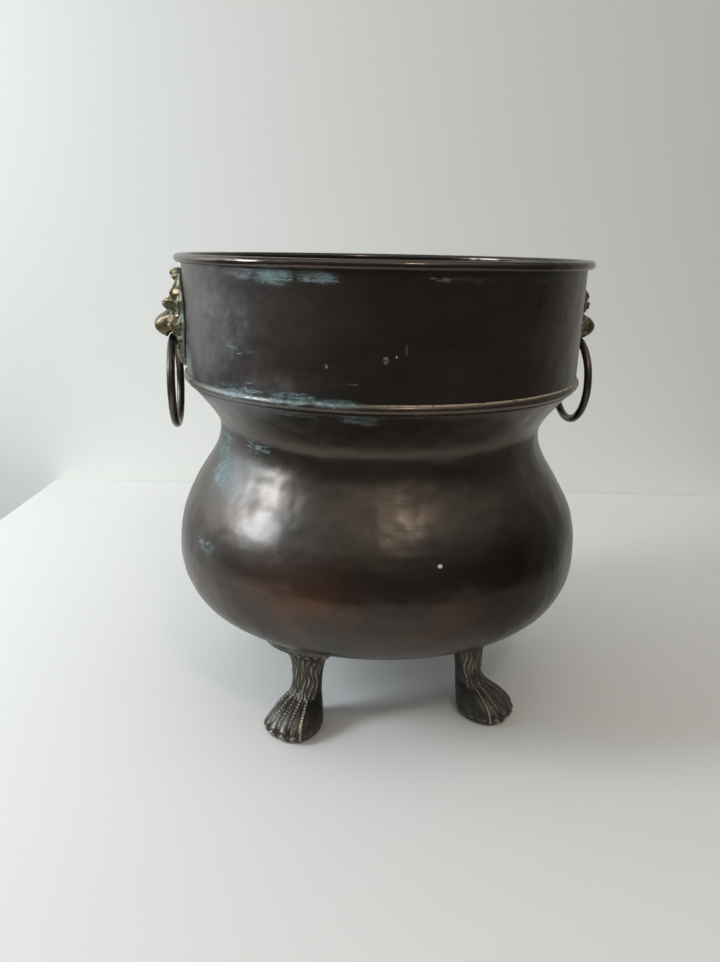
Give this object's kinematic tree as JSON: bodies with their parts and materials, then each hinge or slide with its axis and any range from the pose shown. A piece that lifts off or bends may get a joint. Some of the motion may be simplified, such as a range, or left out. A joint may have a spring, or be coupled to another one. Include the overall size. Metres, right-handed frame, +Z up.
{
  "type": "cauldron",
  "caption": "Waisted copper cauldron with a wired rim and beaded collar, cast lion masks carrying swinging ring handles, and cast lion paw feet.",
  "frame": {"origin": "on the table, under the middle of the bowl", "axes": "+Z up, the lion masks face +X and -X, the front is -Y, and the feet stand about half way between the axes"},
  "size_m": [0.2886, 0.2714, 0.296],
  "materials": {
    "copper_sheet": "dark brown patina, softly polished",
    "copper_bead": "dark patina with rubbed edges",
    "cast_brass": "aged, with verdigris in the hollows",
    "cast_bronze": "dark bronze with pale dirt in the grooves",
    "ring_bronze": "dark bronze, worn smooth",
    "iron_wire": "drawn iron wire",
    "brass_hardware": "aged brass"
  },
  "bodies": {
    "vessel": {"bowl": "copper_sheet", "shoulder": "copper_sheet", "collar": "copper_sheet", "rim_wire": "iron_wire", "seam_bead": "copper_bead", "left_mask": "cast_brass", "left_mask_washers": "brass_hardware", "left_mask_nuts": "brass_hardware", "right_mask": "cast_brass", "right_mask_washers": "brass_hardware", "right_mask_nuts": "brass_hardware", "front_left_foot": "cast_bronze", "front_left_foot_washer": "brass_hardware", "front_left_foot_nut": "brass_hardware", "front_right_foot": "cast_bronze", "front_right_foot_washer": "brass_hardware", "front_right_foot_nut": "brass_hardware", "back_left_foot": "cast_bronze", "back_left_foot_washer": "brass_hardware", "back_left_foot_nut": "brass_hardware", "back_right_foot": "cast_bronze", "back_right_foot_washer": "brass_hardware", "back_right_foot_nut": "brass_hardware"},
    "left_handle": {"left_ring": "ring_bronze"},
    "right_handle": {"right_ring": "ring_bronze"}
  },
  "joints": [
    {"name": "left_ring_swing", "type": "hinge", "parent": "vessel", "child": "left_handle", "pos_m": [-0.13311, 0, 0.245], "axis": [0, 1, 0], "range_deg": [-14, 165]},
    {"name": "right_ring_swing", "type": "hinge", "parent": "vessel", "child": "right_handle", "pos_m": [0.13311, 0, 0.245], "axis": [0, -1, 0], "range_deg": [-14, 165]}
  ]
}
